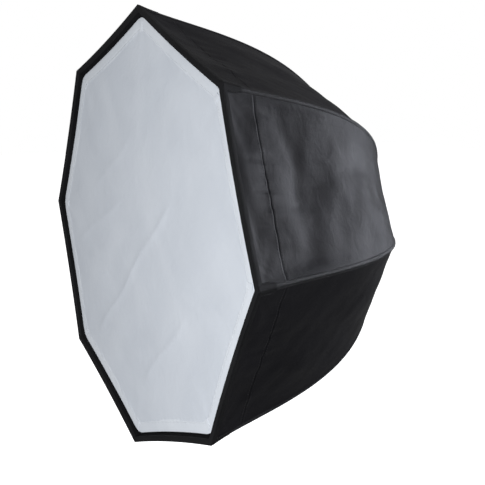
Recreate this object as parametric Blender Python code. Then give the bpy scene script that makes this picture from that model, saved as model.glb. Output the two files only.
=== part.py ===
"""Octagonal studio softbox, 95 cm across its corners, on a folding eight-rib umbrella frame.

Metres, +Z up. The origin is the centre of the speedring's rear face, where the light fastens.
The optical axis is Y, and the diffuser faces -Y. "Station" means the distance in front of the
origin, so a point at station s has y = -s. "Depth" is the distance behind the front rim.
Each repeated piece is modelled in a local frame with x pointing radially outwards, y pointing
backwards and z along the tangent, and is then turned about Y to its own rib or post.
"""

import math

import bmesh
import bpy
from mathutils import Matrix, Vector

# Overall size
RIB_COUNT = 8
RIM_RADIUS = 0.475
RIM_STATION = 0.566
FIRST_RIB_ANGLE = math.radians(90)
RIB_STEP = 2 * math.pi / RIB_COUNT
SCALLOP = 0.010
GAP = 0.0003

# Side view of the cloth along a rib: four Bezier handles as (depth, radius), front to back
SHELL_HANDLES = ((0.0, 0.475), (0.133, 0.424), (0.547, 0.419), (0.5606, 0.075))
CLOTH_THICKNESS = 0.0012
SHELL_FRONT_T = 0.0105
SHELL_REAR_T = 0.976
GORE_ROWS = 12
GORE_COLUMNS = 4

# Front edge, diffuser and inner baffle
RIM_BAND_WIDTH = 0.011
RIM_BAND_DEPTH = 0.003
DIFFUSER_RADIUS = 0.455
DIFFUSER_DEPTH = 0.010
BAFFLE_RADIUS = 0.330
BAFFLE_DEPTH = 0.240

# Ribs, with their inset from the cloth growing towards the hub
ROD_RADIUS = 0.0022
ROD_SIDES = 8
ROD_STEPS = 12
ROD_INSET = 0.0065
ROD_INSET_AT_HUB = 0.0045
ROD_TIP_T = 0.028
ROD_ROOT_T = 0.994
RIB_EYE_RADIUS = 0.0040
RIB_EYE_HALF_WIDTH = 0.0025
PIN_RADIUS = 0.0015
PIN_CLEARANCE = 0.0002
TIP_CAP_RADIUS = 0.0038
TIP_CAP_LENGTH = 0.014
TIP_CAP_NOSE = 0.0025
PIN_HEAD_RADIUS = 0.0025
PIN_HEAD_THICKNESS = 0.0008

# Bracket on each rib that the strut pushes
BRACKET_T = 0.942
BRACKET_RISE = 0.0105
BRACKET_HALF_WIDTH = 0.0034
BRACKET_HALF_LENGTH = 0.0055
BRACKET_PIN_RADIUS = 0.00125
BRACKET_ROOT = 0.0030
BRACKET_TOP = 0.0130
SLOT_HALF_WIDTH = 0.0020

# Speedring and hub
APERTURE_RADIUS = 0.049
FLANGE_RADIUS = 0.074
FLANGE_THICKNESS = 0.0045
NECK_RADII = (0.0545, 0.0590)
NECK_STATION = 0.0235
LUG_COUNT = 3
LUG_REACH = 0.010
LUG_HALF_WIDTH = 0.008
LUG_WEB = 0.003
LUG_HOOK = 0.006
LUG_INSET = 0.0025
LUG_ROOT_STATION = 0.002
RING_INNER_RADIUS = 0.0595
HUB_OUTER_RADIUS = 0.0735
HUB_STATIONS = (0.0066, 0.0270)
COLLAR_STATIONS = (0.0048, 0.0062)
COLLAR_INNER_RADIUS = 0.0695
EAR_THICKNESS = 0.0025
EAR_RADIUS = 0.0050
EAR_HALF_GAP = 0.0029
EAR_OVERLAP = 0.002
PIVOT_DRILL_HALF_LENGTH = 0.012
POST_DRILL_START = 0.05

# Facets of round shapes
RING_SEGMENTS = 24
HOLE_SIDES = 10
PIN_SIDES = 8
WIRE_SIDES = 8
EAR_STEPS = 5

# Sliding runner, its struts, guide posts and push buttons
RUNNER_PIVOT = (0.080, 0.062)
RUNNER_OUTER_RADIUS = 0.0745
RUNNER_STATIONS = (0.0570, 0.0755)
RUNNER_TRAVEL = 0.0412
RUNNER_EAR_RADIUS = 0.0042
RUNNER_EAR_THICKNESS = 0.002
WIRE_RADIUS = 0.0009
WIRE_CLEARANCE = 0.0003
STRUT_HALF_WIDTH = 0.0015
STRUT_INNER_EYE = 0.0040
STRUT_OUTER_EYE = 0.0049
STRUT_OUTER_HOLE = 0.0031
POST_COUNT = 4
POST_CIRCLE_RADIUS = 0.0655
POST_RADIUS = 0.0030
SHOULDER_RADIUS = 0.0042
POST_HEAD_THICKNESS = 0.0025
DETENT_DEPTH = 0.0005
DETENT_HALF_LENGTHS = (0.0020, 0.0025)
STOP_RING_THICKNESS = 0.005
BUTTON_STATION = 0.0705
BUTTON_RADII = (0.0725, 0.0812, 0.0850)
BUTTON_STEM_RADIUS = 0.0020
BUTTON_CAP_RADIUS = 0.0045
SPRING_RADIUS = 0.0031
SPRING_WIRE_RADIUS = 0.00035
SPRING_TURNS = 3
SPRING_STEPS_PER_TURN = 8
SPRING_WIRE_SIDES = 5

MATERIALS = {
    "black_cloth": ((0.016, 0.016, 0.018), 0.75, 0.0),
    "black_tape": ((0.010, 0.010, 0.011), 0.65, 0.0),
    "white_cloth": ((0.62, 0.65, 0.68), 0.8, 0.0),
    "cast_black": ((0.03, 0.03, 0.032), 0.42, 0.3),
    "black_plastic": ((0.02, 0.02, 0.022), 0.5, 0.0),
    "spring_steel": ((0.55, 0.55, 0.56), 0.3, 1.0),
    "zinc_steel": ((0.62, 0.62, 0.62), 0.35, 1.0),
    "button_red": ((0.45, 0.03, 0.02), 0.4, 0.0),
}


# ---------------------------------------------------------------- scene and object helpers


def clear_scene():
    for obj in list(bpy.data.objects):
        bpy.data.objects.remove(obj)


def make_material(name):
    color, roughness, metallic = MATERIALS[name]
    material = bpy.data.materials.new(name)
    material.use_nodes = True
    shader = material.node_tree.nodes["Principled BSDF"]
    shader.inputs["Base Color"].default_value = (*color, 1.0)
    shader.inputs["Roughness"].default_value = roughness
    shader.inputs["Metallic"].default_value = metallic
    material.diffuse_color = (*color, 1.0)
    return material


def material_named(name):
    return bpy.data.materials.get(name) or make_material(name)


def object_from(name, bm):
    """A new object that holds the bmesh, with its faces turned outwards."""
    bmesh.ops.recalc_face_normals(bm, faces=bm.faces)
    mesh = bpy.data.meshes.new(name)
    bm.to_mesh(mesh)
    bm.free()
    obj = bpy.data.objects.new(name, mesh)
    bpy.context.scene.collection.objects.link(obj)
    return obj


def finish_piece(obj, material_name, smooth_degrees=35):
    obj.data.materials.clear()
    obj.data.materials.append(material_named(material_name))
    obj.data.shade_smooth()
    obj.data.set_sharp_from_angle(angle=math.radians(smooth_degrees))
    return obj


def apply_boolean(base, tool, operation):
    """Give base the result of a Boolean with tool, and remove tool."""
    modifier = base.modifiers.new(operation.lower(), "BOOLEAN")
    modifier.operation = operation
    modifier.solver = "EXACT"
    modifier.object = tool
    bpy.context.view_layer.update()
    graph = bpy.context.evaluated_depsgraph_get()
    result = bpy.data.meshes.new_from_object(base.evaluated_get(graph))
    base.modifiers.clear()
    base.data = result
    bpy.data.objects.remove(tool)


def copy_piece(source, name, location, angle):
    """Another object on the source's mesh, at a place, turned about Y by angle."""
    obj = bpy.data.objects.new(name, source.data)
    bpy.context.scene.collection.objects.link(obj)
    obj.location = location
    obj.rotation_euler = (0.0, -angle, 0.0)
    return obj


# ---------------------------------------------------------------- shape helpers


def rib_angle(index):
    return FIRST_RIB_ANGLE + RIB_STEP * index


def post_angle(index):
    return RIB_STEP / 2 + 2 * math.pi / POST_COUNT * index


def around_axis(radius, station, angle):
    """The point at a radius and station, in the half plane at an angle about the axis."""
    return Vector((radius * math.cos(angle), -station, radius * math.sin(angle)))


def arc(center, radius, start, end, steps):
    """Points on an arc in the local x, y plane, with angles in degrees."""
    points = []
    for i in range(steps + 1):
        a = math.radians(start + (end - start) * i / steps)
        points.append((center[0] + radius * math.cos(a), center[1] + radius * math.sin(a)))
    return points


def circle(center, radius, sides):
    return arc(center, radius, 0, 360, sides)[:-1]


def add_prism(bm, outline, low, high, matrix=None):
    """A closed plate: an outline in the x, y plane, extruded from z = low to z = high."""
    bottom = [bm.verts.new((x, y, low)) for x, y in outline]
    top = [bm.verts.new((x, y, high)) for x, y in outline]
    bm.faces.new(bottom)
    bm.faces.new(top)
    count = len(outline)
    for i in range(count):
        j = (i + 1) % count
        bm.faces.new((bottom[i], bottom[j], top[j], top[i]))
    if matrix is not None:
        bmesh.ops.transform(bm, matrix=matrix, verts=bottom + top)


def add_turned(bm, outline, segments, matrix=None):
    """A closed outline of (radius, along) pairs turned about the x axis, along being x."""
    rings = []
    for radius, along in outline:
        if radius == 0.0:
            rings.append([bm.verts.new((along, 0.0, 0.0))])
            continue
        ring = []
        for i in range(segments):
            a = 2 * math.pi * i / segments
            ring.append(bm.verts.new((along, radius * math.cos(a), radius * math.sin(a))))
        rings.append(ring)
    closed = len(rings[0]) > 1
    pairs = list(zip(rings, rings[1:]))
    if closed:
        pairs.append((rings[-1], rings[0]))
    for first, second in pairs:
        for i in range(segments):
            join_ring_cell(bm, first, second, i, segments)
    if matrix is not None:
        verts = [vert for ring in rings for vert in ring]
        bmesh.ops.transform(bm, matrix=matrix, verts=verts)


def join_ring_cell(bm, first, second, i, segments):
    """One face between two rings, where a ring of one vertex is a pole."""
    j = (i + 1) % segments
    if len(first) == 1:
        bm.faces.new((first[0], second[i], second[j]))
    elif len(second) == 1:
        bm.faces.new((first[i], first[j], second[0]))
    else:
        bm.faces.new((first[i], first[j], second[j], second[i]))


def turned_about_axis(name, outline):
    """An object from (radius, station) pairs turned about the softbox's optical axis."""
    bm = bmesh.new()
    add_turned(bm, outline, RING_SEGMENTS)
    x_to_front = Matrix.Rotation(math.radians(-90), 4, "Z")
    bmesh.ops.transform(bm, matrix=x_to_front, verts=bm.verts)
    return object_from(name, bm)


def add_sweep(bm, centers, sides_of, sides, closed=False):
    """A tube along centers. sides_of(i, a) is the offset from center i at angle a."""
    rings = []
    for index, center in enumerate(centers):
        ring = []
        for i in range(sides):
            ring.append(bm.verts.new(center + sides_of(index, 2 * math.pi * i / sides)))
        rings.append(ring)
    pairs = list(zip(rings, rings[1:]))
    if closed:
        pairs.append((rings[-1], rings[0]))
    for first, second in pairs:
        for i in range(sides):
            join_ring_cell(bm, first, second, i, sides)
    if not closed:
        bm.faces.new(rings[0])
        bm.faces.new(rings[-1])


def sheet_from_grids(name, outer, inner):
    """A closed thin solid from two equal grids of points, outer and inner."""
    bm = bmesh.new()
    rows = len(outer)
    columns = len(outer[0])
    sides = []
    for grid in (outer, inner):
        sides.append([[bm.verts.new(point) for point in row] for row in grid])
    for side in sides:
        for r in range(rows - 1):
            for c in range(columns - 1):
                bm.faces.new((side[r][c], side[r][c + 1], side[r + 1][c + 1], side[r + 1][c]))
    edge = [(0, c) for c in range(columns)]
    edge += [(r, columns - 1) for r in range(1, rows)]
    edge += [(rows - 1, c) for c in range(columns - 2, -1, -1)]
    edge += [(r, 0) for r in range(rows - 2, 0, -1)]
    front, back = sides
    for (r0, c0), (r1, c1) in zip(edge, edge[1:] + edge[:1]):
        bm.faces.new((front[r0][c0], front[r1][c1], back[r1][c1], back[r0][c0]))
    return object_from(name, bm)


# ---------------------------------------------------------------- shell geometry


def shell_profile(t):
    """(depth, radius) of the cloth's outer face along a rib, from t = 0 at the rim."""
    weights = ((1 - t) ** 3, 3 * t * (1 - t) ** 2, 3 * t * t * (1 - t), t**3)
    depth = sum(w * handle[0] for w, handle in zip(weights, SHELL_HANDLES))
    radius = sum(w * handle[1] for w, handle in zip(weights, SHELL_HANDLES))
    return depth, radius


def shell_inward(t):
    """Unit vector in (depth, radius) pointing from the cloth into the softbox."""
    step = 1e-4
    before = shell_profile(t - step)
    after = shell_profile(t + step)
    along = Vector((after[0] - before[0], after[1] - before[1])).normalized()
    return Vector((along.y, -along.x))


def inside_shell(t, inset):
    """(radius, station) of a point inset from the cloth's outer face, in a rib's plane."""
    depth, radius = shell_profile(t)
    inward = shell_inward(t)
    return radius + inward.y * inset, RIM_STATION - depth - inward.x * inset


def panel_point(index, u, radius, station):
    """A point between rib index and the next, at share u across, drawn in by the scallop."""
    chord = 2 * radius * math.sin(RIB_STEP / 2)
    u = GAP / chord + u * (1 - 2 * GAP / chord)
    start = around_axis(radius, station, rib_angle(index))
    end = around_axis(radius, station, rib_angle(index + 1))
    middle = rib_angle(index) + RIB_STEP / 2
    pull = SCALLOP * radius * 4 * u * (1 - u)
    return start.lerp(end, u) - around_axis(pull, 0.0, middle)


def rod_center(t):
    """(radius, station) of the rib rod's centre line."""
    return inside_shell(t, ROD_INSET + ROD_INSET_AT_HUB * t**8)


HUB_PIVOT = rod_center(ROD_ROOT_T)


def bracket_pin():
    """(radius, station) of the pin that the strut's outer eye goes round."""
    radius, station = rod_center(BRACKET_T)
    inward = shell_inward(BRACKET_T)
    return radius + inward.y * BRACKET_RISE, station - inward.x * BRACKET_RISE


# ---------------------------------------------------------------- cloth


def make_gore(index):
    grids = []
    for inset in (0.0, CLOTH_THICKNESS / math.cos(RIB_STEP / 2 + SCALLOP * 4)):
        grid = []
        for row in range(GORE_ROWS + 1):
            t = SHELL_FRONT_T + (SHELL_REAR_T - SHELL_FRONT_T) * row / GORE_ROWS
            radius, station = inside_shell(t, inset)
            across = [c / GORE_COLUMNS for c in range(GORE_COLUMNS + 1)]
            grid.append([panel_point(index, u, radius, station) for u in across])
        grids.append(grid)
    return finish_piece(sheet_from_grids(f"shell_gore_{index + 1}", *grids), "black_cloth")


def octagon_loop(bm, radius, depth, columns=GORE_COLUMNS):
    """A scalloped octagon of vertices at a depth behind the rim."""
    loop = []
    for index in range(RIB_COUNT):
        for c in range(columns):
            point = panel_point(index, c / columns, radius, RIM_STATION - depth)
            loop.append(bm.verts.new(point))
    return loop


def bridge_loops(bm, first, second):
    count = len(first)
    for i in range(count):
        j = (i + 1) % count
        bm.faces.new((first[i], first[j], second[j], second[i]))


def make_rim_band():
    """The tape that binds the front edge."""
    bm = bmesh.new()
    inner_radius = RIM_RADIUS - RIM_BAND_WIDTH
    corners = (
        (RIM_RADIUS, 0.0),
        (inner_radius, 0.0),
        (inner_radius, RIM_BAND_DEPTH),
        (RIM_RADIUS, RIM_BAND_DEPTH),
    )
    loops = [octagon_loop(bm, radius, depth) for radius, depth in corners]
    for first, second in zip(loops, loops[1:] + loops[:1]):
        bridge_loops(bm, first, second)
    return finish_piece(object_from("front_rim_band", bm), "black_tape")


def make_flat_sheet(name, radius, depth):
    """A flat octagonal cloth with its front face at a depth behind the rim."""
    bm = bmesh.new()
    front = octagon_loop(bm, radius, depth)
    back = octagon_loop(bm, radius, depth + CLOTH_THICKNESS)
    bridge_loops(bm, front, back)
    for loop, loop_depth in ((front, depth), (back, depth + CLOTH_THICKNESS)):
        middle = bm.verts.new(around_axis(0.0, RIM_STATION - loop_depth, 0.0))
        count = len(loop)
        for i in range(count):
            bm.faces.new((loop[i], loop[(i + 1) % count], middle))
    return finish_piece(object_from(name, bm), "white_cloth")


def make_rear_collar():
    """The reinforced cloth ring held between the speedring and the hub."""
    bm = bmesh.new()
    outer_radius = inside_shell(SHELL_REAR_T, 0.0)[0] - 2 * GAP
    loops = []
    for station in COLLAR_STATIONS:
        outer = []
        inner = []
        for index in range(RIB_COUNT):
            for c in range(GORE_COLUMNS):
                point = panel_point(index, c / GORE_COLUMNS, outer_radius, station)
                outer.append(bm.verts.new(point))
                angle = rib_angle(index) + RIB_STEP * c / GORE_COLUMNS
                inner.append(bm.verts.new(around_axis(COLLAR_INNER_RADIUS, station, angle)))
        loops.append((outer, inner))
    (outer_back, inner_back), (outer_front, inner_front) = loops
    ring = (outer_back, outer_front, inner_front, inner_back)
    for first, second in zip(ring, ring[1:] + ring[:1]):
        bridge_loops(bm, first, second)
    return finish_piece(object_from("rear_collar", bm), "black_cloth")


# ---------------------------------------------------------------- ribs


def rib_local(point):
    """A (radius, station) point in the rib's own frame, which starts at its hub pivot."""
    return Vector((point[0] - HUB_PIVOT[0], HUB_PIVOT[1] - point[1], 0.0))


def local_inward(t):
    inward = shell_inward(t)
    return Vector((inward.y, inward.x, 0.0))


def add_cross_cylinder(bm, center, radius, half_width, segments=PIN_SIDES):
    """A cylinder along local z at a point of the x, y plane."""
    add_prism(bm, circle(center, radius, segments), -half_width, half_width)


def bracket_frame():
    """Matrix of the strut bracket: x along the rod, y inwards, origin on the rod."""
    inward = local_inward(BRACKET_T)
    along = Vector((inward.y, -inward.x, 0.0))
    origin = rib_local(rod_center(BRACKET_T))
    rows = Matrix((along, inward, Vector((0, 0, 1)))).transposed().to_4x4()
    return Matrix.Translation(origin) @ rows


def rod_steps():
    """Profile parameters of the rod's rings, from its front tip to its hinge."""
    return [ROD_TIP_T + (ROD_ROOT_T - ROD_TIP_T) * i / ROD_STEPS for i in range(ROD_STEPS + 1)]


def make_rib_rod():
    bm = bmesh.new()
    steps = rod_steps()
    centers = [rib_local(rod_center(t)) for t in steps]

    def offset(index, a):
        side = Vector((0.0, 0.0, math.sin(a)))
        return (local_inward(steps[index]) * math.cos(a) + side) * ROD_RADIUS

    add_sweep(bm, centers, offset, ROD_SIDES)
    return object_from("rib_rod", bm)


def make_rib():
    """Spring-steel rod with its hinge eye and the forked bracket for the strut."""
    rib = make_rib_rod()
    frame = bracket_frame()
    added = bmesh.new()
    add_cross_cylinder(added, (0.0, 0.0), RIB_EYE_RADIUS, RIB_EYE_HALF_WIDTH)
    half = BRACKET_HALF_LENGTH
    root = BRACKET_ROOT
    top = BRACKET_TOP
    block = [(-half, -root), (half, -root), (half, top - root), (half - root, top)]
    block += [(root - half, top), (-half, top - root)]
    add_prism(added, block, -BRACKET_HALF_WIDTH, BRACKET_HALF_WIDTH, frame)
    apply_boolean(rib, object_from("rib_additions", added), "UNION")
    removed = bmesh.new()
    add_cross_cylinder(removed, (0.0, 0.0), PIN_RADIUS + PIN_CLEARANCE, 2 * RIB_EYE_HALF_WIDTH)
    slot = [(-2 * half, root), (2 * half, root), (2 * half, 2 * top), (-2 * half, 2 * top)]
    add_prism(removed, slot, -SLOT_HALF_WIDTH, SLOT_HALF_WIDTH, frame)
    apply_boolean(rib, object_from("rib_cuts", removed), "DIFFERENCE")
    pin = bmesh.new()
    center = frame @ Vector((0.0, BRACKET_RISE, 0.0))
    width = BRACKET_HALF_WIDTH - GAP
    add_cross_cylinder(pin, (center.x, center.y), BRACKET_PIN_RADIUS, width)
    apply_boolean(rib, object_from("bracket_pin", pin), "UNION")
    return finish_piece(rib, "spring_steel")


def make_tip_cap():
    """Plastic cup over the rod's front end, which the corner pocket of the cloth sits on."""
    bm = bmesh.new()
    bore = ROD_RADIUS + GAP
    rim = TIP_CAP_LENGTH
    outline = [(0.0, -TIP_CAP_NOSE), (0.5 * TIP_CAP_RADIUS, 0.2 * TIP_CAP_NOSE - TIP_CAP_NOSE)]
    outline += [(TIP_CAP_RADIUS, -0.2 * TIP_CAP_NOSE), (TIP_CAP_RADIUS, rim), (bore, rim)]
    outline += [(bore, -GAP), (0.0, -GAP)]
    tip, following = [rib_local(rod_center(t)) for t in rod_steps()[:2]]
    along = (following - tip).normalized()
    tangent = Vector((0.0, 0.0, 1.0))
    rows = Matrix((along, tangent.cross(along), tangent)).transposed().to_4x4()
    add_turned(bm, outline, HOLE_SIDES, Matrix.Translation(tip) @ rows)
    return finish_piece(object_from("rib_tip_cap", bm), "black_plastic")


def make_hub_pin():
    """Rivet through a rib's eye and the two ears of the hub, along local z."""
    reach = EAR_HALF_GAP + EAR_THICKNESS + GAP
    head = PIN_HEAD_THICKNESS
    head_radius = PIN_HEAD_RADIUS
    outline = [(0.0, -reach - head), (head_radius, -reach - head), (head_radius, -reach)]
    outline += [(PIN_RADIUS, -reach), (PIN_RADIUS, reach), (head_radius, reach)]
    outline += [(head_radius, reach + head), (0.0, reach + head)]
    bm = bmesh.new()
    add_turned(bm, outline, PIN_SIDES, Matrix.Rotation(math.radians(-90), 4, "Y"))
    return finish_piece(object_from("hub_pin", bm), "zinc_steel")


# ---------------------------------------------------------------- hub and speedring


def ears_object(pivot, root_radius, ear_radius, inner_half_gap, thickness):
    """Pairs of round-ended ears, one pair at each rib, standing out of a ring."""
    bm = bmesh.new()
    low = -pivot[1] - ear_radius
    high = -pivot[1] + ear_radius
    outline = arc((pivot[0], -pivot[1]), ear_radius, -90, 90, EAR_STEPS)
    outline += [(root_radius, high), (root_radius, low)]
    for index in range(RIB_COUNT):
        turn = Matrix.Rotation(-rib_angle(index), 4, "Y")
        add_prism(bm, outline, inner_half_gap, inner_half_gap + thickness, turn)
        add_prism(bm, outline, -inner_half_gap - thickness, -inner_half_gap, turn)
    return object_from("ears", bm)


def pivot_hole_cutter(pivot, radius, sides):
    """Drills along the tangent through both ears of every pair."""
    bm = bmesh.new()
    half_width = PIVOT_DRILL_HALF_LENGTH
    outline = circle((pivot[0], -pivot[1]), radius, sides)
    for index in range(RIB_COUNT):
        turn = Matrix.Rotation(-rib_angle(index), 4, "Y")
        add_prism(bm, outline, -half_width, half_width, turn)
    return object_from("pivot_holes", bm)


def post_hole_cutter():
    """Four drills along the optical axis, one at each guide post."""
    bm = bmesh.new()
    for index in range(POST_COUNT):
        center = around_axis(POST_CIRCLE_RADIUS, 0.0, post_angle(index))
        place = Matrix.Translation(center) @ Matrix.Rotation(math.radians(90), 4, "X")
        outline = circle((0.0, 0.0), POST_RADIUS + GAP, HOLE_SIDES)
        add_prism(bm, outline, -POST_DRILL_START, RIM_STATION, place)
    return object_from("post_holes", bm)


def make_speedring():
    """Flange, neck and three bayonet lugs that lock into the light."""
    outline = [
        (APERTURE_RADIUS, 0.0),
        (FLANGE_RADIUS, 0.0),
        (FLANGE_RADIUS, FLANGE_THICKNESS),
        (NECK_RADII[1], FLANGE_THICKNESS),
        (NECK_RADII[1], NECK_STATION),
        (NECK_RADII[0], NECK_STATION),
        (NECK_RADII[0], 2 * FLANGE_THICKNESS),
        (APERTURE_RADIUS, FLANGE_THICKNESS),
    ]
    ring = turned_about_axis("speedring", outline)
    bm = bmesh.new()
    inner = APERTURE_RADIUS + LUG_INSET
    web = inner + LUG_WEB
    foot = web + LUG_HOOK
    root = -LUG_ROOT_STATION
    lug = [(inner, root), (web, root), (web, LUG_REACH - LUG_WEB), (foot, LUG_REACH - LUG_WEB)]
    lug += [(foot, LUG_REACH), (inner, LUG_REACH)]
    for index in range(LUG_COUNT):
        turn = Matrix.Rotation(-FIRST_RIB_ANGLE - 2 * math.pi / LUG_COUNT * index, 4, "Y")
        add_prism(bm, lug, -LUG_HALF_WIDTH, LUG_HALF_WIDTH, turn)
    apply_boolean(ring, object_from("lugs", bm), "UNION")
    apply_boolean(ring, post_hole_cutter(), "DIFFERENCE")
    return finish_piece(ring, "cast_black")


def ring_outline(stations, outer_radius, chamfer=0.001):
    rear, front = stations
    return [
        (RING_INNER_RADIUS, rear),
        (outer_radius, rear),
        (outer_radius, front - chamfer),
        (outer_radius - chamfer, front),
        (RING_INNER_RADIUS, front),
    ]


def make_hub_ring():
    """Carrier ring with a pair of ears for every rib."""
    hub = turned_about_axis("hub_ring", ring_outline(HUB_STATIONS, HUB_OUTER_RADIUS))
    root_radius = HUB_OUTER_RADIUS - EAR_OVERLAP
    ears = ears_object(HUB_PIVOT, root_radius, EAR_RADIUS, EAR_HALF_GAP, EAR_THICKNESS)
    apply_boolean(hub, ears, "UNION")
    cutter = pivot_hole_cutter(HUB_PIVOT, PIN_RADIUS + PIN_CLEARANCE, PIN_SIDES)
    apply_boolean(hub, cutter, "DIFFERENCE")
    apply_boolean(hub, post_hole_cutter(), "DIFFERENCE")
    return finish_piece(hub, "cast_black")


# ---------------------------------------------------------------- runner


def button_axis(index):
    """Matrix that takes local x to the radial direction of push button index."""
    turn = Matrix.Rotation(-post_angle(2 * index), 4, "Y")
    return turn @ Matrix.Translation((0.0, -BUTTON_STATION, 0.0))


def make_runner():
    """Sliding ring with strut ears, four guide holes and two button holes."""
    outline = ring_outline(RUNNER_STATIONS, RUNNER_OUTER_RADIUS)
    runner = turned_about_axis("runner_ring", outline)
    shape = (RUNNER_EAR_RADIUS, SLOT_HALF_WIDTH, RUNNER_EAR_THICKNESS)
    ears = ears_object(RUNNER_PIVOT, RUNNER_OUTER_RADIUS - EAR_OVERLAP, *shape)
    apply_boolean(runner, ears, "UNION")
    holes = pivot_hole_cutter(RUNNER_PIVOT, WIRE_RADIUS + WIRE_CLEARANCE, WIRE_SIDES)
    apply_boolean(runner, holes, "DIFFERENCE")
    apply_boolean(runner, post_hole_cutter(), "DIFFERENCE")
    bm = bmesh.new()
    for index in range(2):
        radius = BUTTON_STEM_RADIUS + GAP
        drill = [(0.0, POST_CIRCLE_RADIUS), (radius, POST_CIRCLE_RADIUS)]
        drill += [(radius, 2 * RUNNER_OUTER_RADIUS), (0.0, 2 * RUNNER_OUTER_RADIUS)]
        add_turned(bm, drill, HOLE_SIDES, button_axis(index))
    apply_boolean(runner, object_from("button_holes", bm), "DIFFERENCE")
    return finish_piece(runner, "black_plastic")


def make_hinge_wire():
    """Eight-sided wire ring that the struts turn on, threaded through the runner's ears."""
    bm = bmesh.new()
    corner_radius = RUNNER_PIVOT[0] / math.cos(RIB_STEP / 2)
    angles = [rib_angle(index) + RIB_STEP / 2 for index in range(RIB_COUNT)]
    centers = [around_axis(corner_radius, RUNNER_PIVOT[1], angle) for angle in angles]

    def offset(index, a):
        outward = around_axis(math.cos(a) / math.cos(RIB_STEP / 2), 0.0, angles[index])
        return (outward + Vector((0.0, math.sin(a), 0.0))) * WIRE_RADIUS

    add_sweep(bm, centers, offset, WIRE_SIDES, closed=True)
    return finish_piece(object_from("runner_hinge_wire", bm), "spring_steel")


def make_strut():
    """Flat bar with an eye at each end; its origin is the eye on the runner."""
    pin = bracket_pin()
    reach = Vector((pin[0] - RUNNER_PIVOT[0], RUNNER_PIVOT[1] - pin[1]))
    heading = math.degrees(math.atan2(reach.y, reach.x))
    outline = arc((0.0, 0.0), STRUT_INNER_EYE, heading + 90, heading + 270, EAR_STEPS)
    outline += arc(reach, STRUT_OUTER_EYE, heading - 90, heading + 90, EAR_STEPS)
    bm = bmesh.new()
    add_prism(bm, outline, -STRUT_HALF_WIDTH, STRUT_HALF_WIDTH)
    strut = object_from("strut", bm)
    holes = bmesh.new()
    inner_hole = WIRE_RADIUS + WIRE_CLEARANCE
    add_cross_cylinder(holes, (0.0, 0.0), inner_hole, 2 * STRUT_HALF_WIDTH)
    add_cross_cylinder(holes, reach, STRUT_OUTER_HOLE, 2 * STRUT_HALF_WIDTH, HOLE_SIDES)
    apply_boolean(strut, object_from("strut_holes", holes), "DIFFERENCE")
    return finish_piece(strut, "cast_black")


def stop_ring_stations():
    rear = RUNNER_STATIONS[1] + RUNNER_TRAVEL + GAP
    return rear, rear + STOP_RING_THICKNESS


def make_guide_post():
    """Shouldered rod from the flange to the stop ring, with a detent groove."""
    stop_front = stop_ring_stations()[1]
    shoulder = (HUB_STATIONS[1] + GAP, RUNNER_STATIONS[0] - GAP)
    groove = POST_RADIUS - DETENT_DEPTH
    floor, mouth = DETENT_HALF_LENGTHS
    outline = [(0.0, GAP), (POST_RADIUS, GAP), (POST_RADIUS, shoulder[0])]
    outline += [(SHOULDER_RADIUS, shoulder[0]), (SHOULDER_RADIUS, shoulder[1])]
    outline += [(POST_RADIUS, shoulder[1]), (POST_RADIUS, BUTTON_STATION - mouth)]
    outline += [(groove, BUTTON_STATION - floor), (groove, BUTTON_STATION + floor)]
    outline += [(POST_RADIUS, BUTTON_STATION + mouth), (POST_RADIUS, stop_front + GAP)]
    outline += [(SHOULDER_RADIUS, stop_front + GAP)]
    outline += [(SHOULDER_RADIUS, stop_front + 0.6 * POST_HEAD_THICKNESS)]
    outline += [(0.6 * SHOULDER_RADIUS, stop_front + POST_HEAD_THICKNESS)]
    outline += [(0.0, stop_front + POST_HEAD_THICKNESS)]
    bm = bmesh.new()
    add_turned(bm, outline, HOLE_SIDES, Matrix.Rotation(math.radians(-90), 4, "Z"))
    return finish_piece(object_from("guide_post", bm), "zinc_steel")


def make_stop_ring():
    stations = stop_ring_stations()
    ring = turned_about_axis("stop_ring", ring_outline(stations, HUB_OUTER_RADIUS))
    apply_boolean(ring, post_hole_cutter(), "DIFFERENCE")
    return finish_piece(ring, "black_plastic")


def make_button():
    """Push button with its plunger; local x is radially outwards."""
    tip, under_cap, top = BUTTON_RADII
    outline = [(0.0, tip), (BUTTON_STEM_RADIUS, tip), (BUTTON_STEM_RADIUS, under_cap)]
    outline += [(BUTTON_CAP_RADIUS, under_cap), (BUTTON_CAP_RADIUS, top - 0.001)]
    outline += [(BUTTON_CAP_RADIUS - 0.001, top), (0.0, top)]
    bm = bmesh.new()
    add_turned(bm, outline, HOLE_SIDES)
    return finish_piece(object_from("release_button", bm), "button_red")


def make_button_spring():
    """Coil round the plunger, between the runner and the button's cap."""
    start = RUNNER_OUTER_RADIUS + GAP + SPRING_WIRE_RADIUS
    end = BUTTON_RADII[1] - GAP - SPRING_WIRE_RADIUS
    steps = SPRING_TURNS * SPRING_STEPS_PER_TURN
    turns = [2 * math.pi * i / SPRING_STEPS_PER_TURN for i in range(steps + 1)]
    centers = []
    for i, a in enumerate(turns):
        along = start + (end - start) * i / steps
        centers.append(Vector((along, SPRING_RADIUS * math.cos(a), SPRING_RADIUS * math.sin(a))))

    def offset(index, a):
        turn = turns[index]
        outward = Vector((0.0, math.cos(turn), math.sin(turn)))
        return (outward * math.cos(a) + Vector((math.sin(a), 0.0, 0.0))) * SPRING_WIRE_RADIUS

    bm = bmesh.new()
    add_sweep(bm, centers, offset, SPRING_WIRE_SIDES)
    return finish_piece(object_from("button_spring", bm), "spring_steel")


# ---------------------------------------------------------------- assembly


def place_around(source, base_name, indices, place, angle_of):
    """Copies of one piece, numbered from 1, and then the source is removed."""
    for number, index in enumerate(indices, start=1):
        angle = angle_of(index)
        copy_piece(source, f"{base_name}_{number}", place(angle), angle)
    bpy.data.objects.remove(source)


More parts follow.
